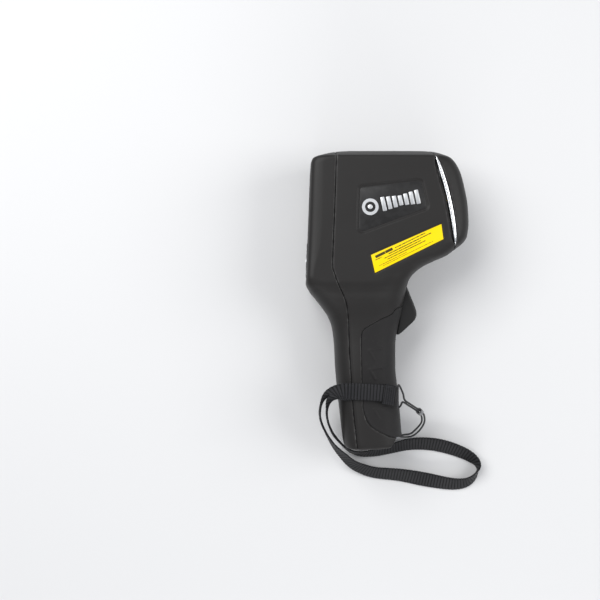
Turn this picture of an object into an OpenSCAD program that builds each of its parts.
// Pistol-grip thermal imaging camera, lying on its left side.
// +X is the way the lens looks, +Y is the camera's own up, +Z is up from the surface it lies on.
// The origin is the bottom centre of the camera's box. All lengths are in millimetres.

/* [Body] */
// Width across the head, from side to side
head_w = 55; // [54:0.5:56]
// Width across the handle
grip_w = 39.6; // [38:0.2:41]
// Thickness of the moulded walls
wall = 2.4; // [2.2:0.1:2.6]
// Thickness of the soft panel on the handle
panel_t = 1.6; // [1.2:0.1:1.8]
// Gap between neighbouring mouldings
seam = 0.2; // [0.1:0.05:0.3]
// Slope of the foot of the handle, in degrees
foot_slope = 4; // [3:0.5:5]

/* [Display and keys] */
// Width of the display window
window_w = 38; // [36:1:40]
// Height of the display window
window_h = 42; // [40:1:42]
// Backward lean of the display face, in degrees
rear_lean = 2; // [1.5:0.1:2.5]
// Height of a key above the display face
key_proud = 0.5; // [0.3:0.1:0.6]
// Gap round a key
key_gap = 0.3; // [0.2:0.05:0.4]

/* [Optics] */
// Radius of the thermal lens
thermal_r = 5; // [4:0.2:5]
// Radius of the spot sensor's lens
spot_r = 8; // [7:0.2:8]
// Radius of a pointer's body
laser_r = 3; // [2.5:0.1:3]

/* [Trigger] */
// Width of the trigger
trigger_w = 16; // [15:0.5:16]
// Radius of the trigger's pin
trigger_pin_r = 1.5; // [1.2:0.1:1.6]
// Radial clearance of a running pin
pin_fit = 0.05; // [0.03:0.01:0.08]

/* [Power and ports] */
// Radius of the battery cell
cell_r = 9.1; // [8.5:0.1:9.1]
// Length of the battery cell
cell_len = 65; // [60:1:65]
// Radius of the tripod thread
tripod_r = 3; // [2.6:0.1:3.1]
// Depth of the tripod thread
tripod_depth = 9.5; // [8:0.5:9.5]
// Length of the port flap
flap_len = 28; // [26:1:28]
// Width of the port flap
flap_w = 15; // [14:0.5:15]

/* [Strap] */
// Width of the wrist webbing
webbing_w = 10; // [9.5:0.5:10.5]
// Thickness of the wrist webbing
webbing_t = 1.3; // [1:0.1:1.4]
// Diameter of the thin cord
cord_d = 1.2; // [1:0.1:1.3]

/* [Hidden] */

mid = head_w / 2;
head_half = mid + 0.25;  // before the sides are flattened
grip_half = grip_w / 2;
charcoal = [0.12, 0.12, 0.12];
ring_sides = 36;

// Half width between the handle's (0) and the head's (1)
function flare(f) = grip_half + (head_half - grip_half) * f;

// Cross sections of the body from foot to crown: height, rear edge, front edge, half width,
// squareness of the rear corners, squareness of the front corners, length of the front curve
BODY = [
    [-91.5, -23.8, 7.0, grip_half - 2, 3, 2.6, 15],
    [-90.4, -25.4, 8.8, grip_half - 0.6, 3, 2.6, 17],
    [-87.5, -26.2, 9.9, grip_half, 3, 2.6, 18],
    [-72, -28.1, 9.0, grip_half, 3, 2.6, 18.5],
    [-56, -29.9, 7.5, grip_half, 3, 2.6, 18.5],
    [-41, -31.2, 6.0, grip_half, 3, 2.6, 18.5],
    [-28, -31.8, 6.0, grip_half, 3, 2.6, 18.5],
    [-18, -33.1, 7.8, flare(0.03), 3.2, 2.6, 20],
    [-11, -35.6, 9.2, flare(0.1), 3.5, 2.7, 22],
    [-5.4, -39.3, 10.2, flare(0.25), 4, 2.8, 24],
    [0.2, -43.7, 11.1, flare(0.5), 5, 3, 26],
    [5.2, -47.4, 12.0, flare(0.78), 7, 3.4, 28],
    [10, -49.35, 12.9, flare(0.96), 12, 4, 29],
    [14, -49.1, 14.9, flare(1), 16, 4.5, 30],
    [19.2, -48.9, 20.8, flare(1), 16, 4.5, 30],
    [23, -48.8, 28.3, flare(1), 16, 4.5, 30],
    [26.3, -48.7, 35.8, flare(1), 16, 4.5, 30],
    [30.7, -48.5, 41.9, flare(1), 16, 4.5, 30],
    [34, -48.4, 46.0, flare(1), 16, 4.5, 30],
    [38.2, -48.2, 48.5, flare(1), 16, 4.5, 30],
    [46, -47.9, 49.4, flare(1), 16, 4.5, 30],
    [56.6, -47.5, 48.8, flare(1), 16, 4.5, 30],
    [68, -47.1, 46.7, flare(1), 16, 4.5, 29],
    [76, -46.8, 44.5, flare(1), 16, 4.5, 28],
    [81, -46.6, 42.0, flare(1), 16, 4.5, 26],
    [84, -45.6, 39.6, flare(0.985), 14, 4.5, 25],
    [85.4, -43.7, 38, flare(0.86), 12, 4.4, 24.4],
    [86.4, -41.8, 36.7, flare(0.57), 10, 4.2, 24],
    [88.4, -37, 33.7, head_half * 0.68, 8, 4, 23],
    [90.2, -32, 30, head_half * 0.43, 6, 4, 21.4],
    [91.5, -26.4, 23.4, head_half * 0.15, 4, 4, 18]
];
// How far the cavity's sections move up (+) or down (-), in wall thicknesses
CAVITY_SHIFT = [[-91.5, 1.5], [-85, 0.6], [-75, 0], [5, 0], [13, 1], [34, 1], [44, 0], [70, 0],
    [84, -1], [91.5, -1]];
// Joint between the rear moulding and the side mouldings
SEAM_LINE = [[-31.5, 96], [-31.8, 79], [-32.6, 53.7], [-33.8, 22], [-32.8, 15.8], [-30.2, 8.6],
    [-26.6, 0.8], [-24.7, -5.8], [-23.9, -15], [-23.4, -30], [-22.3, -47.4], [-21, -66.7],
    [-18.9, -86], [-18.1, -96]];
// Outline of the soft panel, from the front of the handle round to the front again
PANEL_LINE = [[30, -3], [7.5, -4.7], [2, -9], [-5.2, -12.3], [-11.1, -15.7], [-14.8, -18.2],
    [-16.1, -21.6], [-16.2, -30.5], [-15.4, -61.1], [-14.4, -68.7], [-11.9, -74.6], [-6.9, -78.8],
    [2, -83], [8.3, -83.9], [30, -84.6]];
// Corners of the badge recess and of the label
BADGE = [[-18.5, 66.8], [19, 71], [23.2, 53.7], [-19.1, 38.2]];
badge_middle = [0, 54];
badge_bed = 0.6;
badge_t = 0.3;
LABEL = [[-11.9, 26.5], [31, 45.4], [32.4, 35.1], [-9.2, 14.6]];
label_middle = [11, 30];
label_t = 0.25;
// Relief marks on the soft panel: height, turn
GRIP_MARKS = [[-36, 0], [-48, 60], [-66, 0]];
// The nose joint is an arc between these two ends
NOSE_TOP = [26.9, 86];
NOSE_BOTTOM = [39.4, 31.2];
nose_chord = norm(NOSE_TOP - NOSE_BOTTOM);
nose_lean = atan2(NOSE_BOTTOM[0] - NOSE_TOP[0], NOSE_TOP[1] - NOSE_BOTTOM[1]);
nose_rise = 2.25;
trim_width = 2.7;
trim_gap_side = 0.3;
trim_links = 16;
// Places along the trim, from its lower end (-1) to its upper end (1)
TRIM_STEPS = [for (i = [0:trim_links]) 0.96 * (2 * i / trim_links - 1)];
// Slot for the trigger and line of its pin
trigger_pivot = [6.4, 10];
trigger_slot_at = [-2.5, -24];
trigger_slot_size = [40, 40.5];
trigger_pin_reach = 8;
TRIGGER_LINE = [[10.4, 12.4], [13, 7], [15.5, 0.8], [17.7, -4.8], [18.7, -9.2], [17.4, -12.9],
    [13, -17.3], [8, -21.6], [6.2, -21], [7.2, -16], [7.6, -10], [7.4, -4], [6.2, 1], [4, 6.5]];
// Screw places on the left side
SCREWS = [[-27, 77], [17, 79], [-27, 28], [22, 31], [-16.2, -84]];
screw_r = 1.3;
screw_head_r = 2.3;
screw_head_h = 1.8;
screw_sink = 1.2;
boss_r = 2.6;
// How far ribs, bosses and pads stay inside the outer face
rib_in = 0.5;
rib_drop = 5;
pin_seat = 0.05;
// Ribs inside a side moulding: height, rear end, front end
RIBS = [[70, -28, 20], [60, -28, 20], [50, -28, 20], [40, -28, 20], [20, -28, 12], [-30, -18, -2],
    [-45, -18, -2], [-60, -17, -2], [-74, -16, 0]];
// Rear datum: the middle of the display face
rear_at = [-47.8, 46];
window_y = 12.7;
// Keys: middle across, middle up, width, height
KEYS = [[0, -14.3, 14, 5.2], [0, -29.7, 14, 5.2], [-13, -22, 7, 9], [13, -22, 7, 9],
    [0, -22, 7.2, 7.2]];
key_travel_gap = 0.6;
key_flat = 0.4;
key_flange_x = wall + 0.3;
key_flange_t = 0.8;
key_flange_edge = 1.2;
switch_x = 7.4;
board_x = 10;
board_t = 1.6;
// Optics in the nose
panel_x = 39;
panel_half_run = 4;
panel_r = 13;
panel_y = 60;
thermal_y = 67.5;
spot_y = 52.1;
LASERS = [-10, 10];
laser_y = 62;
laser_hole_r = 1.4;
optics_x = 20;
optics_gap = 0.1;
tube_wall = 1;
// Handle
cell_lean = 4.7;
cell_at = [-14.4, -14, 27.5];
foot_y = -90.6;
foot_size = [22, 28];
foot_r = 4;
foot_t = 3;
foot_gap = 0.15;
insert_x = -8;
insert_r = 5;
flap_pin_at = [4.5, 90];
flap_pin_r = 0.8;
flap_pin_reach = 2.5;
lanyard_at = [6.6, -85.4];
lanyard_r = 1;
lanyard_half = 4.8;

// Wrist webbing: x, y, z of its middle line, then how far its width leans over from upright
WEBBING = [
    [4, -57.2, 50.0, 90], [-6, -55.8, 50.0, 90], [-16, -55.2, 49.9, 88], [-22, -54.9, 49.6, 82],
    [-28, -54.8, 48.5, 62], [-33.5, -56.4, 45.8, 38], [-37.6, -59.8, 41.8, 16],
    [-40.1, -64.8, 37.2, 4], [-40.7, -70.7, 33.2, 0], [-39.8, -76, 29, 0], [-37.8, -81.3, 25, 5],
    [-34.8, -87.2, 21, 12], [-31, -93.2, 17, 20], [-25.5, -99.8, 12.6, 32],
    [-19.4, -106, 8.6, 40], [-12, -110.2, 5.8, 48], [-3.5, -112.8, 4.2, 54], [13, -114.6, 3.3, 62],
    [28, -117.4, 2.6, 72], [42, -119.8, 3.3, 62], [50, -120.2, 3.9, 54], [56, -118.8, 4.3, 48],
    [60.4, -115.2, 4.5, 44], [62.6, -110.2, 4.6, 42], [61.2, -105.6, 4.5, 44],
    [56.4, -101.7, 4, 52], [50, -98.8, 3.5, 58], [42, -96.2, 3.2, 62], [33.5, -94.5, 3.2, 62],
    [24, -94, 3.4, 60], [15, -94.9, 3.8, 56], [6.5, -97, 4.8, 48], [-2.5, -99, 6.4, 38],
    [-11.5, -99.6, 8.8, 28], [-18.3, -97.9, 12, 18], [-23.8, -94.4, 15.8, 10],
    [-28.4, -89.6, 19.6, 4], [-32.4, -84, 23.5, 0], [-35, -78, 27.5, 0], [-36.3, -72.3, 31.5, 0],
    [-36.2, -67.2, 35.2, 4], [-34.6, -62.6, 39.4, 18], [-31.6, -59, 43.4, 38],
    [-27.4, -56.6, 46.6, 64], [-22, -55.4, 48.1, 84], [-16, -55.4, 48.3, 88],
    [-6, -55.8, 48.5, 90], [4, -57.2, 48.5, 90]
];
stitch_at = [0.2, -57, 49.25];
stitch_size = [7, 12, 3.9];
stitch_wall = 0.5;

// Thin cord: round the lanyard bar, out to the webbing's end and back beside itself
CORD = [
    [8.2, -85.4, 26.6], [12.5, -86.2, 25.6], [17.5, -85.6, 24.4], [22, -82, 24.4],
    [24.6, -77, 26], [24, -72, 29.4], [21.4, -68.9, 32.4], [17.6, -66.2, 37.2],
    [13.6, -63.4, 41.6], [10, -60.6, 45.6], [8.8, -56.8, 47.4], [7.2, -53, 48.6],
    [5.8, -51.2, 49.1], [5.4, -54, 49.2], [5.4, -60, 49.2], [5.2, -63.6, 49.1], [5.8, -65, 48],
    [7.4, -64, 46.6], [9, -62, 44.4], [12.8, -64.4, 40.6], [16.8, -67.2, 36.2],
    [20.4, -69.9, 32.4], [22.6, -72.8, 28.2], [23, -77, 25], [20.6, -80.8, 23.2],
    [16.8, -84.2, 23.2], [12.5, -84.9, 24.2], [8.2, -85.4, 25.2]
];
bead_at = [20.9, -69.4, 32.4];
bead_r = 2;
bead_hole_r = 1.45;
bead_len = 3;

// ---- helpers ----

// Value of a body column at any height
BODY_COLUMNS = [for (k = [0:6]) [for (row = BODY) [row[0], row[k]]]];
function body(k, y) = lookup(y, BODY_COLUMNS[k]);

// Height of the body's right side above the middle, at a place on the side
function side_rise(x, y) =
    let (centre = body(2, y) - body(6, y))
    let (u = x > centre ? (x - centre) / body(6, y) : (centre - x) / (centre - body(1, y)))
    let (n = x > centre ? body(5, y) : body(4, y))
    body(3, y) * pow(max(0, 1 - pow(u, n)), 1 / n);

// One cross section: a superellipse with its own rear and front halves and flattened sides
function section(row, inset, shift) =
    let (centre = row[2] - row[6])
    [for (k = [0:ring_sides - 1])
        let (c = cos(360 * k / ring_sides), s = sin(360 * k / ring_sides))
        let (n = c > 0 ? row[5] : row[4])
        let (run = c > 0 ? row[6] - inset : centre - row[1] - inset)
        [centre + sign(c) * run * pow(abs(c), 2 / n), row[0] + shift,
            mid + sign(s) * min(mid - max(inset, 0), (row[3] - inset) * pow(abs(s), 2 / n))]];

// Skin over a list of equal rings
module skin(rings) {
    n = len(rings[0]);
    last = (len(rings) - 1) * n;
    polyhedron(
        points = [for (ring = rings) each ring],
        faces = concat(
            [[for (k = [n - 1:-1:0]) k]],
            [for (i = [0:len(rings) - 2]) for (k = [0:n - 1])
                each [[i * n + k, i * n + (k + 1) % n, (i + 1) * n + (k + 1) % n],
                    [i * n + k, (i + 1) * n + (k + 1) % n, (i + 1) * n + k]]],
            [[for (k = [0:n - 1]) last + k]]),
        convexity = 8);
}

// The body's outer form (inset 0) or its cavity (inset of one wall)
module form(inset) {
    skin([for (row = BODY)
        section(row, inset, inset > 0 ? lookup(row[0], CAVITY_SHIFT) * inset : 0)]);
}

module foot_cut() {
    translate([-22, -91.5, -1]) rotate([0, 0, foot_slope]) translate([-60, -20, 0])
        cube([120, 20, head_w + 2]);
}

module across(low, high) {
    translate([0, 0, low]) linear_extrude(high - low) children();
}

module mirrored() {
    translate([0, 0, head_w]) mirror([0, 0, 1]) children();
}

module at_rear() {
    translate([rear_at[0], rear_at[1], mid]) rotate([0, 0, -rear_lean]) children();
}

module rod_x(x, y, z, r, length) {
    translate([x, y, z]) rotate([0, 90, 0]) cylinder(r = r, h = length, $fn = 64);
}

module rod_z(place, low, high, r) {
    translate([place[0], place[1], low]) cylinder(r = r, h = high - low, $fn = 48);
}

// Rounded rectangle
module rounded(w, h, r) {
    square([w - 2 * r, h], center = true);
    square([w, h - 2 * r], center = true);
    for (sx = [-1, 1])
        for (sy = [-1, 1])
            translate([sx * (w / 2 - r), sy * (h / 2 - r)]) circle(r = r, $fn = 48);
}

// A plate whose face looks along X: width is across the camera, height is up it
module plate(x, y, z, t, w, h, r) {
    translate([x, y, z]) rotate([0, 90, 0]) linear_extrude(t) rounded(w, h, r);
}

// Circle through both ends of the nose joint, bulging forward by rise
module nose_circle(rise, grow) {
    r = (pow(nose_chord / 2, 2) + rise * rise) / (2 * rise);
    translate((NOSE_TOP + NOSE_BOTTOM) / 2) rotate(nose_lean) translate([rise - r, 0])
        circle(r = r + grow, $fn = 720);
}

// A point of the nose joint: t runs from -1 at its lower end to 1 at its upper end
function nose_point(t) =
    let (half = nose_chord / 2, r = (half * half + nose_rise * nose_rise) / (2 * nose_rise))
    let (along = half * t, out = sqrt(r * r - along * along) + nose_rise - r)
    (NOSE_TOP + NOSE_BOTTOM) / 2
        + [out * cos(nose_lean) - along * sin(nose_lean),
            out * sin(nose_lean) + along * cos(nose_lean)];

// The trim keeps its width for most of its length and runs out at both ends
function trim_size(t) = 0.3 + (trim_width - 0.5) * (1 - pow(t, 6));

// A point beside the nose joint, at the edge of the trim's bed
function bed_edge(t, way) =
    nose_point(t) + way * (trim_size(t) / 2 + trim_gap_side) * [cos(nose_lean), sin(nose_lean)];

module trim_gap() {
    polygon(concat([nose_point(-0.98)], [for (t = TRIM_STEPS) bed_edge(t, 1)],
        [nose_point(0.98)], [for (i = [trim_links:-1:0]) bed_edge(TRIM_STEPS[i], -1)]));
}

module rear_area(grow) {
    translate([grow, 0]) polygon(concat([[-90, 95]], SEAM_LINE, [[-90, -95]]));
}

module trigger_slot() {
    half = trigger_w / 2 + 0.5;
    translate([trigger_slot_at[0], trigger_slot_at[1], mid - half])
        cube([trigger_slot_size[0], trigger_slot_size[1], 2 * half]);
}

module cord_slot() {
    translate([2, -87.2, mid - 3]) cube([20, 3.6, 6]);
}

function key_corner(key) = min(key[2], key[3]) / 2 - key_flat;

module optics_pocket(r, from) {
    plate(from, panel_y, mid, 30, 2 * r, 2 * (r + panel_half_run), r - key_flat);
}

module key_holes(grow) {
    for (key = KEYS)
        plate(-4, key[1], key[0], 10, key[2] + 2 * grow, key[3] + 2 * grow, key_corner(key));
}

// ---- housings ----

// What both side mouldings share, made for the right side, with its screw holes this deep
module half_shell(hole_depth) {
    intersection() {
        union() {
            difference() {
                form(0);
                form(wall);
            }
            intersection() {
                form(rib_in);
                union() {
                    for (s = SCREWS) rod_z(s, mid + 2 * seam, head_w - 1, boss_r);
                    rod_z(trigger_pivot, mid + trigger_w / 2 + 5, head_w - 1, 3.6);
                    rod_z(trigger_pivot, mid + trigger_w / 2 + 0.6, head_w - 1, 2.5);
                }
            }
            intersection() {
                form(rib_in);
                for (rib = RIBS)
                    hull()
                        for (x = [rib[1], rib[2]])
                            rod_z([x, rib[0]], mid + body(3, rib[0]) - rib_drop, head_w - 1, 0.7);
            }
        }
        difference() {
            across(mid + seam / 2, head_w + 1) intersection() {
                difference() {
                    nose_circle(nose_rise, -seam / 2);
                    trim_gap();
                    rear_area(seam);
                }
                translate([-90, -92]) square([200, 184]);
            }
            foot_cut();
            trigger_slot();
            // pocket for the soft panel
            difference() {
                across(mid, head_w) polygon(PANEL_LINE);
                form(panel_t);
            }
            across(head_w - badge_bed, head_w + 1) offset(r = 1.5, $fn = 24)
                offset(delta = -1.5) polygon(BADGE);
            rod_z(trigger_pivot, mid, head_w - 3, trigger_pin_r + pin_seat);
            rod_z(flap_pin_at, mid, mid + flap_w / 2 + 3, flap_pin_r + pin_seat);
            rod_z(lanyard_at, mid, mid + 5, lanyard_r + pin_seat);
            for (s = SCREWS) rod_z(s, mid - 1, mid + hole_depth, screw_r + 0.1);
            translate([flap_pin_at[0] - flap_len - seam, 87, mid - flap_w / 2 - seam])
                cube([flap_len + 2.4, 10, flap_w + 2 * seam]);
            cord_slot();
            foot_opening(foot_gap);
        }
    }
}

module foot_opening(grow) {
    translate([insert_x - 0.5, foot_y, mid]) rotate([90, 0, foot_slope])
        translate([0, 0, -foot_t - 0.4]) linear_extrude(8)
            rounded(foot_size[0] + 2 * grow, foot_size[1] + 2 * grow, foot_r);
}

module right_housing() {
    color(charcoal) difference() {
        half_shell(12);
        across(head_w - label_t, head_w + 1) polygon(LABEL);
    }
}

module left_housing() {
    color(charcoal) difference() {
        mirrored() half_shell(mid + 1);
        for (s = SCREWS) rod_z(s, -1, screw_floor(s) + screw_head_h, screw_head_r + 0.2);
    }
}

// How deep a screw's head sits, from the plane the camera lies on
function screw_floor(s) = mid - body(3, s[1]) + screw_sink;

module rear_housing() {
    color(charcoal) difference() {
        intersection() {
            union() {
                difference() {
                    form(0);
                    form(wall);
                }
                intersection() {
                    form(rib_in);
                    for (y = [-80:14:4])
                        translate([body(1, y), y, mid - 9]) cube([4, 1.4, 18]);
                    for (y = [9, 88])
                        translate([body(1, y) + 0.6, y, mid - 15]) cube([3, 0.8, 30.8]);
                }
            }
            across(-1, head_w + 1) rear_area(0);
        }
        foot_cut();
        at_rear() {
            plate(-4, window_y, 0, 10, window_w + 0.4, window_h + 0.4, 2.7);
            key_holes(key_gap);
        }
        foot_opening(foot_gap);
    }
}

module front_bezel() {
    color(charcoal) difference() {
        intersection() {
            union() {
                difference() {
                    form(0);
                    form(wall);
                }
                intersection() {
                    form(0.3);
                    optics_pocket(panel_r + 2, panel_x - 1.5);
                }
                intersection() {
                    form(rib_in);
                    for (side = [-1, 1])
                        for (y = [46:8:70])
                            translate([panel_x, y, mid + side * 19.5 - 5.5]) cube([3, 1.2, 11]);
                }
            }
            across(-1, head_w + 1) difference() {
                square([60, 95]);
                nose_circle(nose_rise, seam / 2);
            }
        }
        across(mid + 15, head_w + 1) trim_gap();
        across(-1, mid - 15) trim_gap();
        optics_pocket(panel_r + optics_gap, 30);
    }
}

// ---- outside trim ----

module trim_link(t) {
    p = nose_point(t);
    translate([p[0], p[1], mid + side_rise(p[0], p[1]) - 0.6]) rotate([0, 0, nose_lean])
        cube([trim_size(t), 0.2, 1.6], center = true);
}

module trim_right() {
    color([0.85, 0.86, 0.88]) intersection() {
        union()
            for (i = [0:trim_links - 1])
                hull() {
                    trim_link(TRIM_STEPS[i]);
                    trim_link(TRIM_STEPS[i + 1]);
                }
        across(0, head_w) square([60, 95]);
    }
}

module trim_left() {
    mirrored() trim_right();
}

module badge_right() {
    color([0.16, 0.16, 0.17]) across(head_w - badge_bed, head_w - badge_bed + badge_t)
        polygon([for (p = BADGE) badge_middle + (p - badge_middle) * 0.93]);
}

module badge_left() {
    mirrored() badge_right();
}

module label_right() {
    color([0.95, 0.8, 0.1]) across(head_w - label_t, head_w)
        polygon([for (p = LABEL) label_middle + (p - label_middle) * 0.99]);
}

module grip_mark(y, turn) {
    for (side = [0, 1])
        translate([-8, y, side * head_w]) mirror([0, 0, side]) rotate([0, 0, turn])
            for (s = [-1, 1])
                hull() {
                    translate([0, 0, mid - grip_half + 0.2]) cylinder(r = 0.6, h = 1, $fn = 8);
                    translate([s * 4.5, 3.5, mid - grip_half + 0.5]) cylinder(r = 0.4, h = 1, $fn = 8);
                }
}

module grip_overmold() {
    color([0.09, 0.09, 0.09]) difference() {
        intersection() {
            union() {
                difference() {
                    form(0);
                    form(panel_t - 0.02);
                }
                for (mark = GRIP_MARKS) grip_mark(mark[0], mark[1]);
            }
            across(-1, head_w + 1) offset(delta = -seam) polygon(PANEL_LINE);
        }
        trigger_slot();
        cord_slot();
    }
}

// ---- trigger ----

module trigger() {
    color([0.1, 0.1, 0.1]) difference() {
        union() {
            across(mid - trigger_w / 2, mid + trigger_w / 2) polygon(TRIGGER_LINE);
            rod_z(trigger_pivot, mid - trigger_w / 2, mid + trigger_w / 2, 4.2);
        }
        rod_z(trigger_pivot, mid - trigger_w, mid + trigger_w, trigger_pin_r + pin_fit);
    }
}

module trigger_pin() {
    half = trigger_w / 2 + trigger_pin_reach;
    color("silver") rod_z(trigger_pivot, mid - half, mid + half, trigger_pin_r);
}

module trigger_spring() {
    turns = 3.25;
    steps = 14;
    wire_r = 0.35;
    coil_r = 3;
    coil_pitch = 0.85;
    color("silver") translate([trigger_pivot[0], trigger_pivot[1], mid + trigger_w / 2 + 1.1])
        skin([for (i = [0:round(turns * steps)])
            let (a = -360 * i / steps)
            [for (k = [0:5])
                let (r = coil_r + wire_r * cos(60 * k))
                [r * cos(a), r * sin(a), coil_pitch * i / steps - wire_r * sin(60 * k)]]]);
}

module trigger_switch() {
    color([0.2, 0.2, 0.2]) {
        translate([-4, -15, mid - 3]) cube([5.8, 9, 6]);
        rod_x(1.8, -12, mid, 1, 1.4);
    }
}

// ---- foot ----

module foot_plate() {
    color(charcoal) difference() {
        translate([insert_x - 0.5, foot_y, mid]) rotate([90, 0, foot_slope])
            translate([0, 0, -foot_t - 0.2]) linear_extrude(foot_t)
                rounded(foot_size[0], foot_size[1], foot_r);
        translate([insert_x, foot_y - 2.4, mid]) rotate([-90, 0, 0])
            cylinder(r = insert_r, h = 12, $fn = 64);
    }
}

module tripod_insert() {
    color([0.8, 0.65, 0.3]) translate([insert_x, foot_y, mid]) rotate([-90, 0, 0]) difference() {
        cylinder(r = insert_r, h = tripod_depth + 1, $fn = 64);
        translate([0, 0, -1]) cylinder(r = tripod_r, h = tripod_depth + 1, $fn = 64);
    }
}

module lanyard_bar() {
    color("silver") rod_z(lanyard_at, mid - lanyard_half, mid + lanyard_half, lanyard_r);
}

// ---- display and keys ----

module display_window() {
    color([0.05, 0.06, 0.08]) at_rear()
        plate(0.3, window_y, 0, 1.8, window_w, window_h, 2.5);
}

module display_module() {
    color([0.3, 0.3, 0.32]) at_rear()
        plate(wall + 0.5, window_y, 0, 3.2, window_w + 4, window_h + 0.6, 1);
}

module key(k) {
    spec = KEYS[k];
    stem_x = key_flange_x + key_flange_t;
    color([0.2, 0.2, 0.21]) at_rear() {
        plate(-key_proud, spec[1], spec[0], key_flange_x + key_proud, spec[2], spec[3],
            key_corner(spec));
        plate(key_flange_x, spec[1], spec[0], key_flange_t, spec[2] + key_flange_edge,
            spec[3] + key_flange_edge, key_corner(spec));
        rod_x(stem_x, spec[1], spec[0], 1.5, switch_x - stem_x - key_travel_gap);
    }
}

module key_up() {
    key(0);
}

module key_down() {
    key(1);
}

module key_left() {
    key(2);
}

module key_right() {
    key(3);
}

module key_power() {
    key(4);
}

module key_switches() {
    color("silver") at_rear()
        for (key = KEYS) {
            translate([board_x - 2, key[1] - 2.2, key[0] - 2.2]) cube([2, 4.4, 4.4]);
            rod_x(switch_x, key[1], key[0], 1.1, board_x - 2 - switch_x);
        }
}

module main_board() {
    color([0.05, 0.3, 0.15]) at_rear() translate([board_x, -36, -22])
        cube([board_t, 70, 44]);
}

// ---- power and ports ----

module battery_cell() {
    color([0.2, 0.35, 0.6]) translate(cell_at) rotate([0, 0, cell_lean]) rotate([90, 0, 0]) {
        cylinder(r = cell_r, h = cell_len - 1, $fn = 64);
        translate([0, 0, cell_len - 1]) cylinder(r = cell_r - 2, h = 1, $fn = 64);
    }
}

module port_board() {
    color([0.05, 0.3, 0.15]) translate([-22, 66, mid - 4.2])
        cube([30, 20, board_t]);
}

module usb_socket() {
    color("silver") difference() {
        translate([-20.5, 81.6, mid - 2.6]) cube([7.5, 5.4, 2.8]);
        translate([-20.1, 82.6, mid - 2.2]) cube([6.7, 6, 2]);
    }
}

module card_socket() {
    color("silver") difference() {
        translate([-9, 68, mid - 2.6]) cube([14, 16, 2]);
        translate([-7.6, 69, mid - 2.2]) cube([11.4, 16, 1.2]);
    }
}

module memory_card() {
    color([0.1, 0.1, 0.12]) translate([-7.4, 70, mid - 2.1]) cube([11, 15, 1]);
}

module port_flap() {
    back = flap_pin_at[0] - flap_len;
    color(charcoal) difference() {
        intersection() {
            union() {
                translate([back, 80, mid - flap_w / 2]) cube([flap_len, 20, flap_w]);
                rod_z(flap_pin_at, mid - flap_w / 2, mid + flap_w / 2, 1.5);
            }
            translate([back - 1, 29.5, mid]) rotate([0, 90, 0])
                cylinder(r = 62, h = flap_len + 8, $fn = 96);
        }
        translate([back - 1, 70, mid - flap_w]) cube([flap_len - 1.3, 18.7, 2 * flap_w]);
        translate([back - 1, 70, mid - flap_w]) cube([flap_len + 8, 18.45, 2 * flap_w]);
        rod_z(flap_pin_at, mid - flap_w, mid + flap_w, flap_pin_r + pin_fit);
    }
}

module flap_pin() {
    half = flap_w / 2 + flap_pin_reach;
    color("silver") rod_z(flap_pin_at, mid - half, mid + half, flap_pin_r);
}

// ---- optics ----

module optics_frame() {
    color([0.6, 0.61, 0.63]) difference() {
        translate([26, 40, mid - 21]) cube([5, 38, 42]);
        translate([optics_x, thermal_y - 6.5, mid - 6.5]) cube([20, 13, 13]);
        rod_x(optics_x, spot_y, mid, spot_r + tube_wall + optics_gap, 20);
        for (z = LASERS) rod_x(optics_x, laser_y, mid + z, laser_r + optics_gap, 20);
    }
}

module thermal_module() {
    color([0.15, 0.15, 0.16]) {
        translate([22, thermal_y - 6.3, mid - 6.3]) cube([14, 12.6, 12.6]);
        rod_x(36, thermal_y, mid, thermal_r, panel_x - 36 - optics_gap);
    }
}

// A round lens with a domed face, along X
module lens(x, y, r, edge, rise) {
    dome = (r * r + rise * rise) / (2 * rise);
    translate([x, y, mid]) rotate([0, 90, 0]) intersection() {
        cylinder(r = r, h = edge + rise, $fn = 64);
        translate([0, 0, edge + rise - dome]) sphere(r = dome, $fn = 96);
    }
}

module thermal_lens() {
    color([0.25, 0.22, 0.2]) lens(panel_x, thermal_y, thermal_r, 1.6, 0.9);
}

module spot_lens() {
    color([0.75, 0.72, 0.66]) lens(panel_x, spot_y, spot_r - optics_gap, 1.2, 1.2);
}

module spot_tube() {
    color([0.15, 0.15, 0.16]) difference() {
        rod_x(optics_x, spot_y, mid, spot_r + tube_wall, panel_x - optics_x - optics_gap);
        rod_x(optics_x + 2, spot_y, mid, spot_r, panel_x);
    }
}

module laser_modules() {
    color([0.8, 0.65, 0.3])
        for (z = LASERS)
            difference() {
                rod_x(optics_x, laser_y, mid + z, laser_r, panel_x - optics_x - optics_gap);
                rod_x(panel_x - 5, laser_y, mid + z, laser_hole_r, 10);
            }
}

module front_panel() {
    color([0.05, 0.05, 0.06]) difference() {
        plate(panel_x, panel_y, mid, 2, 2 * panel_r, 2 * (panel_r + panel_half_run),
            panel_r - key_flat);
        rod_x(panel_x - 1, thermal_y, mid, thermal_r + optics_gap, 5);
        rod_x(panel_x - 1, spot_y, mid, spot_r, 5);
        for (z = LASERS) rod_x(panel_x - 1, laser_y, mid + z, laser_hole_r + 0.2, 5);
    }
}

// ---- screws ----

module housing_screws() {
    color("silver")
        for (s = SCREWS) {
            rod_z(s, screw_floor(s), screw_floor(s) + screw_head_h, screw_head_r);
            rod_z(s, screw_floor(s) + screw_head_h, mid + 10, screw_r);
        }
}

// ---- strap ----

// Direction of a route at point i
function heading(route, i) =
    let (a = route[max(i - 1, 0)], b = route[min(i + 1, len(route) - 1)])
    let (d = [b[0] - a[0], b[1] - a[1], b[2] - a[2]])
    d / norm(d);

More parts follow.
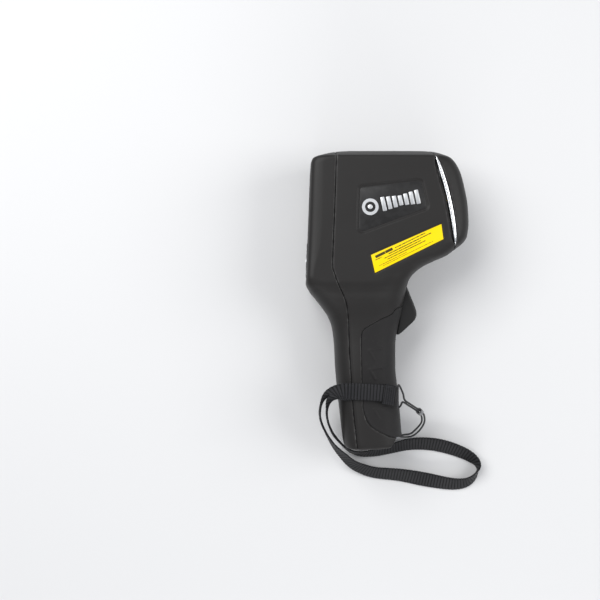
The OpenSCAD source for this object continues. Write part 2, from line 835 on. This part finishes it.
// Width direction of the webbing: upright, leaning over towards +Y by the given angle
function width_way(h, lean) =
    let (raw = [0, sin(lean), cos(lean)])
    let (w = raw - (raw * h) * h)
    w / norm(w);

module strap_webbing() {
    color([0.1, 0.1, 0.1]) skin([for (i = [0:len(WEBBING) - 1])
        let (p = [WEBBING[i][0], WEBBING[i][1], WEBBING[i][2]])
        let (h = heading(WEBBING, i), w = width_way(h, WEBBING[i][3]), t = cross(h, w))
        [for (corner = [[-1, -1], [-1, 1], [0, 1], [1, 1], [1, -1], [0, -1]])
            p + w * corner[0] * webbing_w / 2 + t * corner[1] * webbing_t / 2]]);
}

module strap_stitch() {
    color([0.12, 0.12, 0.13]) translate(stitch_at) rotate([0, 0, -8]) difference() {
        cube(stitch_size, center = true);
        cube([stitch_size[0] + 1, stitch_size[1] - 2 * stitch_wall, stitch_size[2] - 2 * stitch_wall],
            center = true);
    }
}

module lanyard_cord() {
    color([0.08, 0.08, 0.08]) skin([for (i = [0:len(CORD) - 1])
        let (h = heading(CORD, i), a = cross(h, abs(h[2]) > 0.9 ? [1, 0, 0] : [0, 0, 1]))
        let (u = a / norm(a), v = cross(u, h))
        [for (k = [0:7]) CORD[i] + (u * cos(45 * k) + v * sin(45 * k)) * cord_d / 2]]);
}

module cord_bead() {
    color("silver") translate(bead_at) rotate([0, 45, 138]) difference() {
        cylinder(r = bead_r, h = bead_len, center = true, $fn = 48);
        cylinder(r = bead_hole_r, h = bead_len + 1, center = true, $fn = 48);
    }
}

right_housing();
left_housing();
rear_housing();
front_bezel();
front_panel();
trim_right();
trim_left();
badge_right();
badge_left();
label_right();
grip_overmold();
trigger();
trigger_pin();
trigger_spring();
trigger_switch();
foot_plate();
tripod_insert();
lanyard_bar();
display_window();
display_module();
key_up();
key_down();
key_left();
key_right();
key_power();
key_switches();
main_board();
battery_cell();
port_board();
usb_socket();
card_socket();
memory_card();
port_flap();
flap_pin();
optics_frame();
thermal_module();
thermal_lens();
spot_tube();
spot_lens();
laser_modules();
housing_screws();
strap_webbing();
strap_stitch();
lanyard_cord();
cord_bead();
